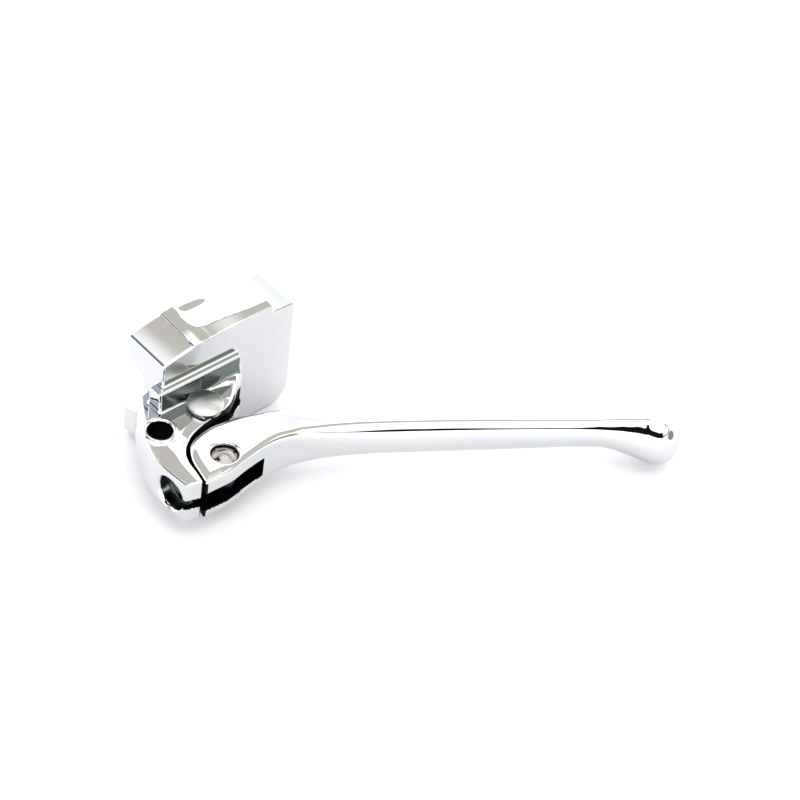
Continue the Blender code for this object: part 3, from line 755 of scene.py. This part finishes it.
size = 3000.0
corners = np.array([(-size, -size), (size, -size), (size, size), (-size, size)])
sheet = np.column_stack([corners, floor_height(corners[:, 1])])
floor = make_object("floor", sheet, np.array([[0, 1, 2, 3]]))
paper = bpy.data.materials.new("matt_white_paper")
paper.use_nodes = True
paper.node_tree.nodes["Principled BSDF"].inputs["Base Color"].default_value = linear("#F3F4F6")
paper.node_tree.nodes["Principled BSDF"].inputs["Roughness"].default_value = 0.9
dress(floor, paper)


# %% [markdown]
# ## The light
# Chrome shows only its surroundings, so the surroundings are the picture. They are a white
# tent with a few cards in it, each given by the direction it stands in: a tan card all round
# the rear, which colours the polished edges, a dark one low in front, which fills the corner
# above the perch, and black ones that draw the thin lines along the edges.

# %% World
world = bpy.data.worlds.new("light_tent")
bpy.context.scene.world = world
world.use_nodes = True
tree = world.node_tree
tree.nodes.clear()
place = add_node(tree, "ShaderNodeTexCoord")
split = add_node(tree, "ShaderNodeSeparateXYZ", {}, {"Vector": place.outputs["Generated"]})


def maths(operation, a, b=0.0):
    node = add_node(tree, "ShaderNodeMath", {"operation": operation}, {0: a, 1: b})
    return node.outputs[0]


def step(value, low, high):
    node = add_node(tree, "ShaderNodeMapRange", {"interpolation_type": "SMOOTHSTEP"}, {
        "Value": value, "From Min": low, "From Max": high})
    return node.outputs["Result"]


def blend(amount, a, b):
    node = add_node(tree, "ShaderNodeMix", {"data_type": "RGBA"}, {0: amount, 6: a, 7: b})
    return node.outputs[2]


elevation = maths("ARCSINE", split.outputs["Z"])
azimuth = maths("ARCTAN2", split.outputs["Y"], split.outputs["X"])
rad = math.radians
white = (2.3, 2.3, 2.3, 1.0)
soft_white = (1.9, 1.92, 1.9, 1.0)
pale = (1.4, 1.42, 1.44, 1.0)
tan = (0.78, 0.75, 0.68, 1.0)
olive = (0.36, 0.40, 0.32, 1.0)
grey_blue = (0.80, 0.90, 1.05, 1.0)
black = (0.01, 0.01, 0.012, 1.0)
paper_white = (1.2, 1.2, 1.2, 1.0)


def band(value, low, high, soft_low, soft_high):
    """One between two angles, with a soft lower and a soft upper edge, in degrees."""
    upper = step(value, rad(high - soft_high / 2), rad(high + soft_high / 2))
    lower = step(value, rad(low - soft_low / 2), rad(low + soft_low / 2))
    return maths("MULTIPLY", lower, maths("SUBTRACT", 1.0, upper))


def patch(centre_azimuth, centre_elevation, wide, tall):
    """One inside an ellipse of directions, in degrees."""
    a = maths("DIVIDE", maths("SUBTRACT", azimuth, rad(centre_azimuth)), rad(wide))
    b = maths("DIVIDE", maths("SUBTRACT", elevation, rad(centre_elevation)), rad(tall))
    square = maths("ADD", maths("POWER", a, 2.0), maths("POWER", b, 2.0))
    return maths("SUBTRACT", 1.0, step(square, 0.7, 1.3))


rear = band(elevation, 47.0, 58.5, 0.5, 8.0)
facing = maths("COSINE", maths("ADD", azimuth, rad(169)))
camera_side = step(facing, math.cos(rad(76)), math.cos(rad(71)))
low_rear = band(elevation, 36.0, 42.0, 3.0, 0.8)
slit = maths("MULTIPLY", band(elevation, 47.0, 70.0, 1.0, 2.0), camera_side)
colour = blend(low_rear, white, pale)
colour = blend(rear, colour, tan)
colour = blend(camera_side, colour, white)
# each card: azimuth and elevation of its middle, half its width and half its height
cards = (
    (-45, 58, 32, 9, soft_white),   # lights the perch in front of the neck
    (93, 60, 20, 8, pale),          # the inboard end of the lip
    (-45, 47, 30, 4, tan),          # the ledge
    (-50, 31, 24, 13, olive),       # the neck, and the corner above it
    (116, 54, 18, 7, black),        # lines along the inboard edges
    (148, 27, 18, 17, black),
    (137, 44, 12, 5, grey_blue))    # the neck's inboard end
for *place_and_size, shade in cards:
    colour = blend(patch(*place_and_size), colour, shade)
colour = blend(slit, colour, black)
path = add_node(tree, "ShaderNodeLightPath")
colour = blend(path.outputs["Is Camera Ray"], colour, paper_white)
background = add_node(tree, "ShaderNodeBackground", {}, {"Color": colour, "Strength": 1.0})
add_node(tree, "ShaderNodeOutputWorld", {}, {"Surface": background.outputs[0]})
bpy.context.scene.view_settings.view_transform = "Standard"
print("light tent:", len(cards), "cards,", len(tree.nodes), "nodes")


# %% [markdown]
# ## The camera
# A long lens, a metre away and a little rolled, which looks down across the lever from the
# rider's left.

# %% Camera
azimuth_deg, elevation_deg, roll_deg = -47.3, 44.01, 9.1
PLACE = (-508.1, -608.8, 772.1)
a, e, r = (math.radians(v) for v in (azimuth_deg, elevation_deg, roll_deg))
back = Vector((math.sin(a) * math.cos(e), -math.cos(a) * math.cos(e), math.sin(e)))
right = Vector((math.cos(a), math.sin(a), 0))
up = back.cross(right)
across = math.cos(r) * right + math.sin(r) * up
upward = -math.sin(r) * right + math.cos(r) * up
camera_data = bpy.data.cameras.new("camera")
camera_data.lens = 131.9
camera_data.sensor_width = 36
camera_data.clip_end = 20
camera = bpy.data.objects.new("camera", camera_data)
bpy.context.scene.collection.objects.link(camera)
turn_matrix = Matrix((across, upward, back)).transposed().to_4x4()
camera.matrix_world = Matrix.Translation(Vector(PLACE) * MM) @ turn_matrix
bpy.context.scene.camera = camera
print("camera at", PLACE, "mm, lens", camera_data.lens, "mm")
